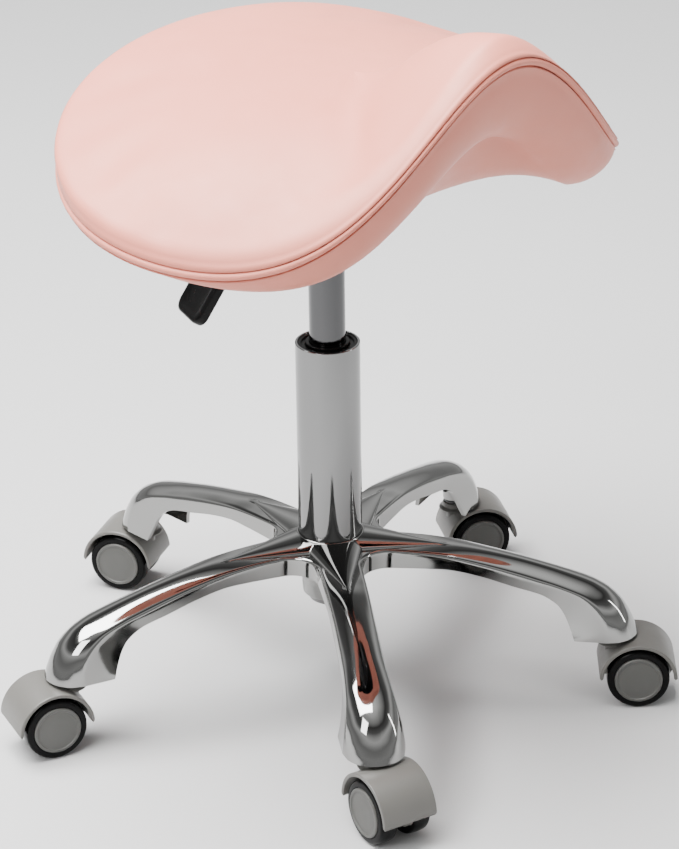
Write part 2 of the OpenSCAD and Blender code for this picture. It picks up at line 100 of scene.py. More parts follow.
def rounded(corners, radius, steps=5):
    """An open outline with each inner corner rounded. A corner may carry its own radius."""
    out = [corners[0][:2]]
    for i in range(1, len(corners) - 1):
        p = Vector(corners[i][:2])
        a, b = Vector(corners[i - 1][:2]) - p, Vector(corners[i + 1][:2]) - p
        r = corners[i][2] if len(corners[i]) > 2 else radius
        half = a.angle(b) / 2
        if r <= 0 or half > math.pi / 2 - 0.01:
            out.append(tuple(p))
            continue
        cut = min(r / math.tan(half), 0.49 * a.length, 0.49 * b.length)
        start, end = p + a.normalized() * cut, p + b.normalized() * cut
        for k in range(steps + 1):
            t = k / steps
            q = start * (1 - t) ** 2 + p * (2 * t * (1 - t)) + end * t ** 2
            out.append(tuple(q))
    out.append(corners[-1][:2])
    return out


def joined(name, meshes):
    """One mesh from several."""
    bm = bmesh.new()
    for mesh in meshes:
        bm.from_mesh(mesh)
    out = bpy.data.meshes.new(name)
    bm.to_mesh(out)
    bm.free()
    return out


def place(mesh, matrix):
    """Moves a mesh, and returns it."""
    mesh.transform(matrix)
    return mesh


def show(name, mesh, material, body, nodes=()):
    """Puts a piece in the scene on its body, in place of the CAD nodes that it stands for."""
    obj = new_object(name, mesh)
    obj.data.materials.append(material)
    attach(obj, body)
    if nodes:
        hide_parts(*nodes)
    return obj


# ---------------------------------------------------------------- materials

def new_material(name, color, metallic=0.0, roughness=0.5, **sockets):
    """A principled material; returns it with its shader node."""
    mat = bpy.data.materials.new(name)
    mat.use_nodes = True
    shader = mat.node_tree.nodes["Principled BSDF"]
    shader.inputs["Base Color"].default_value = (*color, 1)
    shader.inputs["Metallic"].default_value = metallic
    shader.inputs["Roughness"].default_value = roughness
    for socket, value in sockets.items():
        shader.inputs[socket.replace("_", " ")].default_value = value
    return mat, shader


def add_node(mat, kind, **values):
    """A shader node, with values for its inputs or its settings."""
    node = mat.node_tree.nodes.new(kind)
    for key, value in values.items():
        if key in node.inputs:
            node.inputs[key].default_value = value
        else:
            setattr(node, key, value)
    return node


def object_noise(mat, scale, detail=4.0, stretch=(1, 1, 1), kind="ShaderNodeTexNoise"):
    """Noise in the piece's own coordinates, with features about 1/scale metres across."""
    coords = add_node(mat, "ShaderNodeTexCoord")
    mapping = add_node(mat, "ShaderNodeMapping")
    mapping.inputs["Scale"].default_value = stretch
    noise = add_node(mat, kind, Scale=scale)
    if "Detail" in noise.inputs:
        noise.inputs["Detail"].default_value = detail
    link = mat.node_tree.links.new
    link(coords.outputs["Object"], mapping.inputs["Vector"])
    link(mapping.outputs["Vector"], noise.inputs["Vector"])
    return noise


def vary(mat, shader, socket, noise, low, high):
    """Drives a float socket from noise, between two values."""
    span = add_node(mat, "ShaderNodeMapRange")
    span.inputs["From Min"].default_value = 0.3
    span.inputs["From Max"].default_value = 0.7
    span.inputs["To Min"].default_value = low
    span.inputs["To Max"].default_value = high
    link = mat.node_tree.links.new
    link(noise.outputs[0], span.inputs["Value"])
    link(span.outputs["Result"], shader.inputs[socket])


def tint(mat, shader, noise, dark, light):
    """Colours the surface between two colours by noise."""
    ramp = add_node(mat, "ShaderNodeValToRGB")
    ramp.color_ramp.elements[0].position = 0.3
    ramp.color_ramp.elements[0].color = (*dark, 1)
    ramp.color_ramp.elements[1].position = 0.7
    ramp.color_ramp.elements[1].color = (*light, 1)
    link = mat.node_tree.links.new
    link(noise.outputs[0], ramp.inputs["Fac"])
    link(ramp.outputs["Color"], shader.inputs["Base Color"])


def bump(mat, shader, noise, strength, distance, below=None):
    """Roughens the normal by noise; below is a bump node to lay this one over."""
    node = add_node(mat, "ShaderNodeBump", Strength=strength, Distance=distance)
    link = mat.node_tree.links.new
    link(noise.outputs[0], node.inputs["Height"])
    if below:
        link(below.outputs["Normal"], node.inputs["Normal"])
    link(node.outputs["Normal"], shader.inputs["Normal"])
    return node


def leather():
    """Soft leather: faint blotches, a coarse unevenness and a fine grain."""
    mat, shader = new_material("pink_leather", (0.83, 0.52, 0.45), roughness=0.5,
                               Sheen_Weight=0.05, Sheen_Roughness=0.4, Specular_IOR_Level=0.4)
    tint(mat, shader, object_noise(mat, 9, 3), (0.58, 0.19, 0.136), (0.61, 0.204, 0.148))
    vary(mat, shader, "Roughness", object_noise(mat, 60, 3), 0.44, 0.54)
    grain = object_noise(mat, 900, kind="ShaderNodeTexVoronoi")
    coarse = bump(mat, shader, object_noise(mat, 240, 4), 0.12, 0.0004)
    bump(mat, shader, grain, 0.10, 0.0002, below=coarse)
    return mat


def polished(name, color, roughness=0.07, waviness=0.05):
    """Bright metal with faint polishing marks and a slightly wavy surface."""
    mat, shader = new_material(name, color, metallic=1.0, roughness=roughness)
    vary(mat, shader, "Roughness", object_noise(mat, 35, 5), roughness * 0.7, roughness * 1.6)
    wave = bump(mat, shader, object_noise(mat, 14, 2), waviness, 0.002)
    bump(mat, shader, object_noise(mat, 700, 2), 0.02, 0.0001, below=wave)
    return mat


def brushed(name, color, roughness=0.3):
    """Drawn steel, with fine marks running round it."""
    mat, shader = new_material(name, color, metallic=1.0, roughness=roughness)
    marks = object_noise(mat, 60, 4, stretch=(1, 1, 40))
    vary(mat, shader, "Roughness", marks, roughness * 0.75, roughness * 1.25)
    bump(mat, shader, marks, 0.05, 0.0001)
    return mat


def plastic(name, color, roughness=0.45, grain=1400, depth=0.15, shine=0.5):
    """Moulded plastic with a fine spark-eroded texture."""
    mat, shader = new_material(name, color, roughness=roughness, Specular_IOR_Level=shine)
    dark = tuple(c * 0.93 for c in color)
    tint(mat, shader, object_noise(mat, 25, 3), dark, color)
    vary(mat, shader, "Roughness", object_noise(mat, 90, 3), roughness * 0.9, roughness * 1.1)
    bump(mat, shader, object_noise(mat, grain, 2), depth, 0.0001)
    return mat


def wood():
    """Plywood, with its lines along X."""
    mat, shader = new_material("board_wood", (0.55, 0.38, 0.22), roughness=0.7)
    lines = object_noise(mat, 20, 5, stretch=(1, 12, 12))
    tint(mat, shader, lines, (0.45, 0.29, 0.16), (0.62, 0.44, 0.27))
    bump(mat, shader, lines, 0.2, 0.0003)
    return mat


ALUMINIUM = polished("polished_aluminium", (0.27, 0.27, 0.264), 0.06)
CHROME = polished("chrome_tube", (0.2, 0.2, 0.2), 0.05, waviness=0.02)
CYLINDER = brushed("cylinder_steel", (0.08, 0.08, 0.082), 0.12)
STEEL = brushed("bare_steel", (0.55, 0.55, 0.55), 0.3)
BLACK_STEEL = plastic("black_painted_steel", (0.02, 0.02, 0.021), 0.35, grain=500)
BLACK_PLASTIC = plastic("black_plastic", (0.003, 0.003, 0.003), 0.25, shine=0.12)
RUBBER = plastic("black_rubber", (0.006, 0.006, 0.006), 0.6, grain=900, shine=0.2)
TYRE = plastic("tyre_rubber", (0.003, 0.003, 0.003), 0.1, grain=300, depth=0.03, shine=0.08)
HOOD = plastic("hood_plastic", (0.1, 0.097, 0.089), 0.38)
CAP = plastic("cap_plastic", (0.062, 0.062, 0.057), 0.45)
FOAM = plastic("pad_foam", (0.75, 0.68, 0.5), 0.9, grain=260, depth=0.6)
WOOD = wood()
LEATHER = leather()

BY_SLOT = {
    "cast_aluminium": ALUMINIUM, "chrome": CHROME, "cylinder_steel": CYLINDER, "steel": STEEL,
    "black_steel": BLACK_STEEL, "black_plastic": BLACK_PLASTIC, "black_rubber": RUBBER, "tyre": TYRE,
    "grey_plastic": HOOD, "cap_plastic": CAP, "board_wood": WOOD, "foam": FOAM, "pink_leather": LEATHER,
    "cover_plastic": BLACK_PLASTIC,
}
for part in frame["record"]["subparts"]:
    cad = frame["nodes"][part["node"]]
    cad.data.materials.clear()
    cad.data.materials.append(BY_SLOT[part["material_slot"]])


# ---------------------------------------------------------------- seat

SEAT_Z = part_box("seat_plate")[1].z / MM
CENTRE = np.array([0.0, -30.0])
CROWN = 18.7
ROLL_START = 0.86
DISH_Z = 70.0
BAND_INSET = 34.0
FLAT_P = 0.55
COVER_P = 0.6
COVER_T = 1.7
PIPING_R = 2.9
# The most that the simulation may move the cover, in metres
SWELL_CAP = 0.006
ROUND = 240


def seam(a):
    """The seam round the seat, as points in millimetres above the seat's underside."""
    return np.stack([
        220 * np.sin(a) - 18 * np.sin(2 * a) - 3 * np.sin(3 * a),
        -34 - 173 * np.cos(a) + 9 * np.cos(2 * a) + 7.5 * np.cos(3 * a),
        37 + 9 * np.cos(a) + 47.5 * np.cos(2 * a) + 15 * np.cos(3 * a) + 7.5 * np.cos(4 * a)
        + 2.5 * np.cos(5 * a)], axis=-1)


def outward(a):
    """Directions in plan from the seat's centre to the seam."""
    d = seam(a)[:, :2] - CENTRE
    return d / np.linalg.norm(d, axis=1)[:, None]


def top_row(q, a):
    """A ring of the padded top; q is 0 in the middle and 1 at the seam."""
    ring = seam(a)
    front, rear = np.clip(np.cos(a), 0, 1) ** 2, np.clip(-np.cos(a), 0, 1) ** 2
    power = 2.87 - 1.56 * front - 1.11 * rear
    edge = max(0.0, (q - ROLL_START) / (1 - ROLL_START))
    swell = (5 - 8 * np.cos(a)) * math.sin(math.pi * edge * edge)
    plan = CENTRE + q * (ring[:, :2] - CENTRE) + swell[:, None] * outward(a)
    pommel = 22.5 * np.exp(-(plan[:, 0] / 48) ** 2 - ((plan[:, 1] + 142) / 73) ** 2) * (1 - q ** 4)
    z = DISH_Z + (ring[:, 2] + CROWN - DISH_Z) * q ** power
    z = z - CROWN * (1 - math.sqrt(max(0.0, 1 - edge * edge))) + pommel
    return np.column_stack([plan, z])


def band_drop(a):
    """How far the side band's lower edge lies below the seam."""
    return 27 + 18 * np.cos(a) + 13.5 * np.cos(2 * a) + 4 * np.cos(3 * a)


def band_row(t, a):
    """A ring of the side band; t is 0 at the seam and 90 degrees at its lower edge."""
    ring = seam(a)
    plan = ring[:, :2] - BAND_INSET * (1 - math.cos(t)) * outward(a)
    return np.column_stack([plan, ring[:, 2] - band_drop(a) * math.sin(t)])


def under_row(p, a):
    """A ring of the underside; p is 1 at the band's lower edge and 0 in the middle."""
    edge = band_row(math.pi / 2, a)
    plan = CENTRE + p * (edge[:, :2] - CENTRE)
    return np.column_stack([plan, edge[:, 2] * max(0.0, (p - FLAT_P) / (1 - FLAT_P)) ** 2])


def seam_row(out, up, a):
    """A ring beside the seam, moved outward and up from it."""
    ring = seam(a)
    return np.column_stack([ring[:, :2] + out * outward(a), ring[:, 2] + up])


def skin_rows(a):
    """Rings of the cushion's skin from the middle of the top to the middle of the underside."""
    rows = [top_row(ROLL_START * (k / 26) ** 0.9, a) for k in range(1, 27)]
    rows += [top_row(ROLL_START + (1 - ROLL_START) * math.sin(math.radians(t)), a)
             for t in range(8, 72, 7)]
    # The top lies on the piping; the band is tucked in behind it
    over = [(1.8, 4.0), (1.0, 3.35), (0.0, 3.05), (-1.4, 2.75), (-2.6, 1.7), (-3.1, 0)]
    behind = [(-3.3, -1.3), (-2.5, -2.5), (-1.4, -3.2), (-0.3, -3.9), (0.5, -4.6)]
    rows += [seam_row(out, up, a) for out, up in over + behind]
    start = np.arcsin(5.2 / band_drop(a))
    for t in np.linspace(0, 1, 14):
        angle = start + t * (math.pi / 2 - start)
        ring = seam(a)
        plan = ring[:, :2] - (BAND_INSET * (1 - np.cos(angle)))[:, None] * outward(a)
        rows.append(np.column_stack([plan, ring[:, 2] - band_drop(a) * np.sin(angle)]))
    rows += [under_row(p, a) for p in np.linspace(0.985, COVER_P, 16)]
    # The skin goes on a little way over the bottom cover, and is closed above it
    rows += [under_row(COVER_P - 0.01, a) + [0, 0, COVER_T]]
    rows += [under_row(p, a) + [0, 0, COVER_T] for p in (0.4, 0.2)]
    return rows


def tree_of(points):
    """A search tree over points."""
    tree = KDTree(len(points))
    for i, p in enumerate(points):
        tree.insert(p, i)
    tree.balance()
    return tree


def smooth_fields(points, rest, moved, reach):
    """How far points move with their nearest neighbours in a simulated mesh."""
    tree = tree_of(rest)
    shift = moved - rest
    out = np.zeros_like(points)
    for i, p in enumerate(points):
        near = tree.find_n(p, 40)
        weights = np.array([1 / (d + reach) ** 2 for _, _, d in near])
        out[i] = (shift[[j for _, j, _ in near]] * weights[:, None]).sum(0) / weights.sum()
    return out


def vertex_array(mesh):
    """The mesh's vertices as an array with a row for each."""
    co = np.empty(len(mesh.vertices) * 3)
    mesh.vertices.foreach_get("co", co)
    return co.reshape(-1, 3)


def puff(mesh, seam_tree):
    """Swells the closed cover by inner pressure: remeshed, run as cloth, and held at the seam.

    Returns the remeshed vertices before and after."""
    pad = new_object("pad_sim", mesh.copy())
    remesh = pad.modifiers.new("voxels", "REMESH")
    remesh.voxel_size = 0.006
    bpy.context.view_layer.objects.active = pad
    pad.select_set(True)
    bpy.ops.object.modifier_apply(modifier=remesh.name)
    rest = vertex_array(pad.data)
    pinned = [i for i, p in enumerate(rest)
              if seam_tree.find(p)[2] < 0.009 or p[2] < SEAT_Z * MM + 0.004]
    pad.vertex_groups.new(name="sewn").add(pinned, 1.0, "REPLACE")
    cloth = pad.modifiers.new("cloth", "CLOTH")
    cloth.settings.use_pressure = True
    cloth.settings.uniform_pressure_force = 4
    cloth.settings.vertex_group_mass = "sewn"
    cloth.settings.mass = 0.4
    cloth.settings.tension_stiffness = 25
    cloth.settings.compression_stiffness = 25
    cloth.settings.bending_stiffness = 2
    cloth.settings.effector_weights.gravity = 0
    cloth.point_cache.frame_start = 1
    cloth.point_cache.frame_end = 20
    for number in range(1, 21):
        bpy.context.scene.frame_set(number)
    bpy.ops.object.modifier_apply(modifier=cloth.name)
    moved = vertex_array(pad.data)
    bpy.context.scene.frame_set(1)
    shift = moved - rest
    length = np.linalg.norm(shift, axis=1)[:, None]
    moved = rest + shift * np.minimum(1, SWELL_CAP / np.maximum(length, 1e-9))
    bpy.data.objects.remove(pad)
    return rest, moved


def make_cushion():
    """The whole padded cover but its piping, as one closed form."""
    a = np.linspace(0, 2 * np.pi, ROUND, endpoint=False)
    rows = skin_rows(a)
    last = 1 + len(rows) * ROUND
    points = [top_row(0.0, a[:1])[0]] + [p for row in rows for p in row]
    points += [(CENTRE[0], CENTRE[1], COVER_T)]
    points = [(p[0], p[1], p[2] + SEAT_Z) for p in points]
    faces = [(0, 1 + i, 1 + (i + 1) % ROUND) for i in range(ROUND)]
    faces += grid_faces(len(rows), ROUND, wrap_columns=True, start=1)
    faces += [(last, last - ROUND + (i + 1) % ROUND, last - ROUND + i) for i in range(ROUND)]
    mesh = mesh_from("seat_cushion", points, faces)
    ring = seam(a)
    seam_tree = tree_of([Vector((x, y, z + SEAT_Z)) * MM for x, y, z in ring])
    rest, moved = puff(mesh, seam_tree)
    co = vertex_array(mesh)
    shift = smooth_fields(co, rest, moved, 0.015)
    # The swelling fades out beside the seam
    for i, p in enumerate(co):
        away = min(1.0, max(0.0, (seam_tree.find(p)[2] - 0.007) / 0.02))
        co[i] += shift[i] * away * away * (3 - 2 * away)
    mesh.vertices.foreach_set("co", co.ravel())
    cushion = show("seat_cushion", mesh, LEATHER, "seat",
                   ["seat_foam", "seat_top_panel", "seat_side_band"])


def make_piping():
    """The welt round the seam."""
    a = np.linspace(0, 2 * np.pi, 360, endpoint=False)
    points = []
    for t in np.linspace(0, 2 * np.pi, 14, endpoint=False):
        row = seam_row(PIPING_R * math.cos(t) - 0.2, -PIPING_R * math.sin(t), a)
        points += [(p[0], p[1], p[2] + SEAT_Z) for p in row]
    mesh = mesh_from("seat_piping_welt", points, grid_faces(14, 360, wrap_rows=True, wrap_columns=True))
    show("seat_piping_welt", mesh, LEATHER, "seat", ["seat_piping"])


make_cushion()
make_piping()


# ---------------------------------------------------------------- star base

WEB_Z = 124.0
STEM_R = 224.0
HALF_ANGLE = math.pi / LEGS
WALL = 3.4
# Radius along the edge of the legs' tops: sharper on the level web, softer where the leg dips
EDGE_R = 2.6
EDGE_SOFT = 6.0
# The lip round the column, as radius and height, from its bore outward
RING = [(25.05, 129.4), (25.1, 130.2), (25.4, 130.6), (25.9, 130.6), (26.3, 130.3), (26.5, 129.8)]
RING_R = RING[-1][0]
# The web between two legs ends in an arc that is tangent to both
CORNER_R = 44.0
LEG_HALF = 17.0
FILLET = (CORNER_R * math.sin(HALF_ANGLE) - LEG_HALF) / (1 - math.sin(HALF_ANGLE))
FILLET_AT = (CORNER_R + FILLET) * Vector((math.cos(HALF_ANGLE), math.sin(HALF_ANGLE)))
# The ridge on each leg: it starts at the ring and narrows to a point
RIDGE_TIP = 92.0
RIDGE_TAPER = 0.33
RIDGE_H = 6.5
RIDGE_COLUMNS = 12
FLAT_COLUMNS = 8
# Where the fan of sections between two legs begins and ends on a leg's axis
FAN_START = 34.0
FAN_END = 37.0
SKIRT_Z = 108.5

# Stations along a leg: crest x and z, skirt x and z, half width, and the slope of the crown's edge
STATIONS = [
    (FILLET_AT.x, 124, FILLET_AT.x, 108.5, LEG_HALF, 0),
    (64, 124, 64, 109, 16.8, 1),
    (80, 124, 80, 109.6, 16.6, 5),
    (100, 123.5, 99, 109.5, 16.3, 14),
    (125, 120.6, 122, 105.5, 16.2, 26),
    (150, 116, 147, 98.8, 16.3, 34),
    (170, 111.3, 161, 95.6, 16.5, 38),
    (186, 107, 171, 92.5, 16.8, 40),
    (204, 101.5, 181, 86.5, 17.8, 45),
    (214, 97.2, 186.5, 79.5, 18.8, 50),
    (222, 92.2, 190, 72.5, 20, 56),
    (230, 84.5, 192.5, 66.5, 21.3, 63),
    (236, 75, 194, 62.5, 22.4, 71),
    (240, 66, 195, 59.8, 23.2, 80),
    (242.5, 58.5, 195.6, 58.5, 23.5, 88),
]


def catmull(table, t):
    """A smooth value at t along a table of stations."""
    i = min(int(t), len(table) - 2)
    f = t - i
    p0, p1 = table[max(i - 1, 0)], table[i]
    p2, p3 = table[i + 1], table[min(i + 2, len(table) - 1)]
    return [0.5 * (2 * b + (c - a) * f + (2 * a - 5 * b + 4 * c - d) * f ** 2
                   + (3 * b - a - 3 * c + d) * f ** 3) for a, b, c, d in zip(p0, p1, p2, p3)]


def ridge_height(x, y):
    """Height of the ridge above the web at a point of the leg's plan."""
    width = RIDGE_TAPER * (RIDGE_TIP - x)
    if width <= 0 or y >= width:
        return 0.0
    return RIDGE_H * (RIDGE_TIP - x) / (RIDGE_TIP - RING_R) * math.sqrt(1 - (y / width) ** 2)


def top_shares(axis_x, end):
    """Where the columns cross a line from the leg's axis to its edge: close together on the ridge."""
    foot = RIDGE_TAPER * (RIDGE_TIP - axis_x) / (end.y + RIDGE_TAPER * (end.x - axis_x))
    foot = min(1.0, max(foot, 0.15))
    shares = [foot * math.sin(math.pi / 2 * j / RIDGE_COLUMNS) for j in range(RIDGE_COLUMNS + 1)]
    return shares + [foot + (1 - foot) * j / FLAT_COLUMNS for j in range(1, FLAT_COLUMNS + 1)]


def section(axis, edge, normal, skirt_z, up, height, slope, inset):
    """Half a leg's section, from its crest out over the rounded edge and down to the skirt's rim.

    axis and edge are plan points at the rim's level, normal points out across the edge, up is the
    section's upward direction, and inset moves the whole section inward for the inner wall."""
    edge = edge - normal * inset
    radius = max(EDGE_R + EDGE_SOFT * math.sin(slope) - inset, 0.6)
    height -= inset
    start = edge - normal * (radius * (1 - math.sin(slope)))
    depth = (start - axis).length * math.tan(slope / 2)
    points = []

    def add(plan, h):
        """Adds the point that lies h above a plan point, along the section's upward direction."""
        x, z = plan.x + up.x * h, skirt_z + up.y * h
        points.append((x, plan.y, z))

    for share in top_shares(axis.x, start):
        bend = math.asin(share * math.sin(slope))
        drop = depth * (1 - math.cos(bend)) / max(1 - math.cos(slope), 1e-9) if slope > 1e-3 else 0.0
        plan = axis + (start - axis) * share
        add(plan, height - drop + (ridge_height(plan.x, plan.y) if inset == 0 else 0.0))
    low = height - depth - radius * math.cos(slope)
    for j in range(1, 7):
        angle = slope + (math.pi / 2 - slope) * j / 6
        add(edge - normal * radius * (1 - math.sin(angle)), low + radius * math.cos(angle))
    for j in range(1, 7):
        add(edge, low * (1 - j / 6))
    return points


def leg_sections(inset):
    """Sections of half a leg from the web's corner out to the foot's rim."""
    sections = []
    steps = 14
    for k in range(steps):
        turn = math.pi + HALF_ANGLE + (math.pi / 2 - HALF_ANGLE) * k / steps
        away = Vector((math.cos(turn), math.sin(turn)))
        axis = Vector((FAN_END + (FILLET_AT.x - FAN_END) * k / steps, 0))
        sections.append(section(axis, FILLET_AT + FILLET * away, -away, SKIRT_Z, Vector((0, 1)),
                                WEB_Z - SKIRT_Z, 0, inset))
    count = 90
    for k in range(count + 1):
        cx, cz, sx, sz, half, slope = catmull(STATIONS, (len(STATIONS) - 1) * k / count)
        up = Vector((cx - sx, cz - sz))
        sections.append(section(Vector((sx, 0)), Vector((sx, half)), Vector((0, 1)), sz, up.normalized(),
                                up.length, math.radians(max(slope, 0)), inset))
    return sections


def web_grids(first):
    """The hub's ring, the ridge beside it, and the web out to the first section of a leg."""
    angles = [HALF_ANGLE * j / RIDGE_COLUMNS for j in range(RIDGE_COLUMNS + 1)]
    rows = [[(r * math.cos(a), r * math.sin(a), z) for a in angles] for r, z in RING]
    valley_x = RIDGE_TAPER * RIDGE_TIP / (math.tan(HALF_ANGLE) + RIDGE_TAPER)
    valley = Vector((valley_x, valley_x * math.tan(HALF_ANGLE)))
    shares = [math.sin(math.pi / 2 * j / RIDGE_COLUMNS) for j in range(RIDGE_COLUMNS + 1)]
    for i in range(7):
        t = i / 6
        row = []
        for a, share in zip(angles, shares):
            on_ring = RING_R * Vector((math.cos(a), math.sin(a)))
            on_line = Vector((FAN_START, 0)).lerp(valley, share)
            plan = on_ring.lerp(on_line, t)
            row.append((plan.x, plan.y, WEB_Z + ridge_height(plan.x, plan.y)))
        rows.append(row)
    fan = []
    count = RIDGE_COLUMNS + FLAT_COLUMNS
    corner = Vector(first[count][:2])
    for i in range(7):
        t = i / 6
        axis = Vector((FAN_START + (FAN_END - FAN_START) * t, 0))
        end = valley.lerp(corner, t)
        row = []
        for share in top_shares(axis.x, end):
            plan = axis.lerp(end, share)
            row.append((plan.x, plan.y, WEB_Z + ridge_height(plan.x, plan.y)))
        fan.append(row)
    return rows, fan


def under_web(first):
    """The web's underside, from a leg's first section in to the column's hole."""
    rim = first[:RIDGE_COLUMNS + FLAT_COLUMNS + 1]
    bore = [Vector((x, y)).normalized() * RING[0][0] for x, y, _ in rim]
    return [[(x + (b.x - x) * t, y + (b.y - y) * t, z) for (x, y, z), b in zip(rim, bore)]
            for t in (0, 0.5, 1)]


def wall_between_loops(mesh):
    """Joins the two open loops of a mesh with a wall."""
    bm = bmesh.new()
    bm.from_mesh(mesh)
    bmesh.ops.bridge_loops(bm, edges=[edge for edge in bm.edges if edge.is_boundary])
    bmesh.ops.recalc_face_normals(bm, faces=bm.faces)
    bm.to_mesh(mesh)
    bm.free()


def leg_matrix(k):
    """Turns +X to the direction of leg k."""
    return Matrix.Rotation(2 * math.pi / LEGS * k - math.radians(198), 4, "Z")


def make_star():
    """The casting: half a leg inside and out, mirrored and turned to all five."""
    outer, inner = leg_sections(0.0), leg_sections(WALL)
    ring, fan = web_grids(outer[0])
    grids = [ring, fan, outer, inner, under_web(inner[0]), [outer[-1], inner[-1]],
             [[row[-1] for row in outer], [row[-1] for row in inner]]]
    points, faces = [], []
    for k in range(1, LEGS + 1):
        turn = leg_matrix(k).to_3x3()
        for mirror in (1, -1):
            for rows in grids:
                start = len(points)
                for row in rows:
                    points.extend(tuple(turn @ Vector((x, mirror * y, z))) for x, y, z in row)
                faces.extend(grid_faces(len(rows), len(rows[0]), start=start))
    mesh = mesh_from("star_casting", points, faces, merge=0.02)
    wall_between_loops(mesh)
    star = show("star_casting", mesh, ALUMINIUM, "base", ["star_base"])
    star.data.set_sharp_from_angle(angle=math.radians(40))


def make_hub_boss():
    """The tapered boss under the hub, round the tube's spigot."""
    profile = rounded([(42, 119.5), (42, 107.6), (38, 107.2, 6), (27.5, 103, 8), (23.4, 90, 12),
                       (22.4, 78, 1.2), (19.3, 78, 0.4), (19.3, 100)], 1.0, 6)
    show("hub_boss", revolve("hub_boss", profile, 128, closed=True), ALUMINIUM, "base")


def make_sockets():
    """The boss inside each foot that holds a stem, with its mouth chamfered."""
    profile = [(5.7, 82), (6.6, 81.5), (10.5, 71), (10.5, 60), (10.1, 59.2), (9.6, 58.9), (6.4, 58.9),
               (5.7, 59.6)]
    for k in range(1, LEGS + 1):
        mesh = revolve("socket", profile, 48, closed=True)
        place(mesh, leg_matrix(k) @ Matrix.Translation((STEM_R * MM, 0, 0)))
        show(f"stem_socket_{k}", mesh, ALUMINIUM, "base")


make_star()
make_hub_boss()
make_sockets()


# ---------------------------------------------------------------- column

def make_column():
    """The tube, the bushing in its mouth and the gas cylinder, as turned shells."""
    tube = rounded([(4.5, 72), (17.6, 72, 1), (19, 116, 2), (25, 123, 1), (25, 291, 0.7), (23, 291, 0.4),
                    (23, 124, 1), (16.8, 117, 1), (16, 76, 1), (4.5, 76)], 0.8)
    show("column_tube_shell", revolve("tube", tube, 144, closed=True), CHROME, "base", ["column_tube"])
    bush = rounded([(22.95, 262), (22.95, 290.2, 0.6), (20.6, 290.2, 0.8), (20.0, 288.6, 0.5),
                    (17.4, 288.6, 0.5), (17.0, 291.6, 0.8), (14.1, 291.6, 0.6), (14.06, 262)], 0.5)
    show("guide_bushing_collar", revolve("bush", bush, 96, closed=True), BLACK_PLASTIC, "base",
         ["guide_bushing"])
    cylinder_low, cylinder_high = (v.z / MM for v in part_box("gas_cylinder"))
    cone = cylinder_high - 32
    cylinder = rounded([(12.5, cylinder_low), (14, cylinder_low, 1), (14, cone, 6),
                        (13.2, cylinder_high, 0.6), (3.1, cylinder_high, 0.3), (3.1, cone - 18),
                        (12.5, cone - 18)], 0.5)
    show("gas_cylinder_shell", revolve("cylinder", cylinder, 96, closed=True), CYLINDER, "seat",
         ["gas_cylinder"])


make_column()


# ---------------------------------------------------------------- lever

LEVER_Z = SEAT_Z - 12
LEVER_R = 4
LEVER_YAW = math.radians(20)
LEVER_DROOP = math.radians(57)
PADDLE_START = Vector((-108, -11, LEVER_Z - 23))


def tube_along(name, path, radius, around=24):
    """A round bar along a path whose corners are rounded, with its ends closed by flat caps."""
    curve = bpy.data.curves.new(name, "CURVE")
    curve.dimensions = "3D"
    curve.bevel_depth = radius * MM
    curve.bevel_resolution = around // 4
    curve.use_fill_caps = True
    spline = curve.splines.new("POLY")
    spline.points.add(len(path) - 1)
    for point, p in zip(spline.points, path):
        point.co = (p[0] * MM, p[1] * MM, p[2] * MM, 1)
    holder = bpy.data.objects.new(name, curve)
    bpy.context.scene.collection.objects.link(holder)
    mesh = bpy.data.meshes.new_from_object(holder.evaluated_get(bpy.context.evaluated_depsgraph_get()))
    bpy.data.objects.remove(holder)
    return mesh


def bent_path(corners, radius, steps=8):
    """A path through corners, each bend rounded off."""
    out = [Vector(corners[0])]
    for before, here, after in zip(corners, corners[1:], corners[2:]):
        p = Vector(here)
        a, b = (Vector(before) - p), (Vector(after) - p)
        cut = min(radius, 0.45 * a.length, 0.45 * b.length)
        start, end = p + a.normalized() * cut, p + b.normalized() * cut
        for k in range(steps + 1):
            t = k / steps
            out.append(start * (1 - t) ** 2 + p * (2 * t * (1 - t)) + end * t ** 2)
    out.append(Vector(corners[-1]))
    return out


